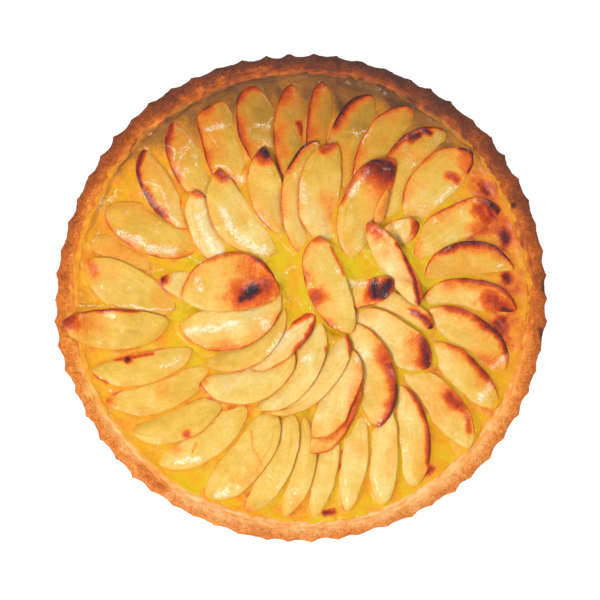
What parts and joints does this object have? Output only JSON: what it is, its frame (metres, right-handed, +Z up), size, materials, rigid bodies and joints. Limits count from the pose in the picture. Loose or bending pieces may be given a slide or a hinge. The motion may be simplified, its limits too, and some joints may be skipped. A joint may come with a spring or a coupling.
{
  "type": "apple tart",
  "caption": "Round apple custard tart with a low fluted shortcrust shell, a custard filling and overlapping glazed apple slices laid in rings.",
  "frame": {"origin": "middle of the flat base of the crust, which stands on the table", "axes": "+Z up out of the tart's top; +Y from the middle to the back of the tart; +X to the right as seen from the front"},
  "size_m": [0.2769, 0.2745, 0.0339],
  "materials": {
    "crust": "baked shortcrust, rough and crumbly, browned along the rim",
    "custard": "baked yellow custard under a thin glaze",
    "apple": "baked apple flesh under a shiny glaze, browned along the peel edge"
  },
  "bodies": {
    "root": {"crust": "crust", "custard": "custard", "inner_slice_01": "apple", "inner_slice_02": "apple", "inner_slice_03": "apple", "inner_slice_04": "apple", "inner_slice_05": "apple", "inner_slice_06": "apple", "inner_slice_07": "apple", "inner_slice_08": "apple", "inner_slice_09": "apple", "inner_slice_10": "apple", "inner_slice_11": "apple", "inner_slice_12": "apple", "inner_slice_13": "apple", "inner_slice_14": "apple", "inner_slice_15": "apple", "inner_slice_16": "apple", "inner_slice_17": "apple", "inner_slice_18": "apple", "inner_slice_19": "apple", "inner_slice_20": "apple", "middle_slice_1": "apple", "middle_slice_2": "apple", "middle_slice_3": "apple", "middle_slice_4": "apple", "outer_slice_01": "apple", "outer_slice_02": "apple", "outer_slice_03": "apple", "outer_slice_04": "apple", "outer_slice_05": "apple", "outer_slice_06": "apple", "outer_slice_07": "apple", "outer_slice_08": "apple", "outer_slice_09": "apple", "outer_slice_10": "apple", "outer_slice_11": "apple", "outer_slice_12": "apple", "outer_slice_13": "apple", "outer_slice_14": "apple", "outer_slice_15": "apple", "outer_slice_16": "apple", "outer_slice_17": "apple", "outer_slice_18": "apple", "outer_slice_19": "apple", "outer_slice_20": "apple", "outer_slice_21": "apple", "outer_slice_22": "apple", "outer_slice_23": "apple", "outer_slice_24": "apple", "outer_slice_25": "apple", "outer_slice_26": "apple", "outer_slice_27": "apple", "outer_slice_28": "apple", "outer_slice_29": "apple", "outer_slice_30": "apple", "outer_slice_31": "apple"}
  },
  "joints": []
}
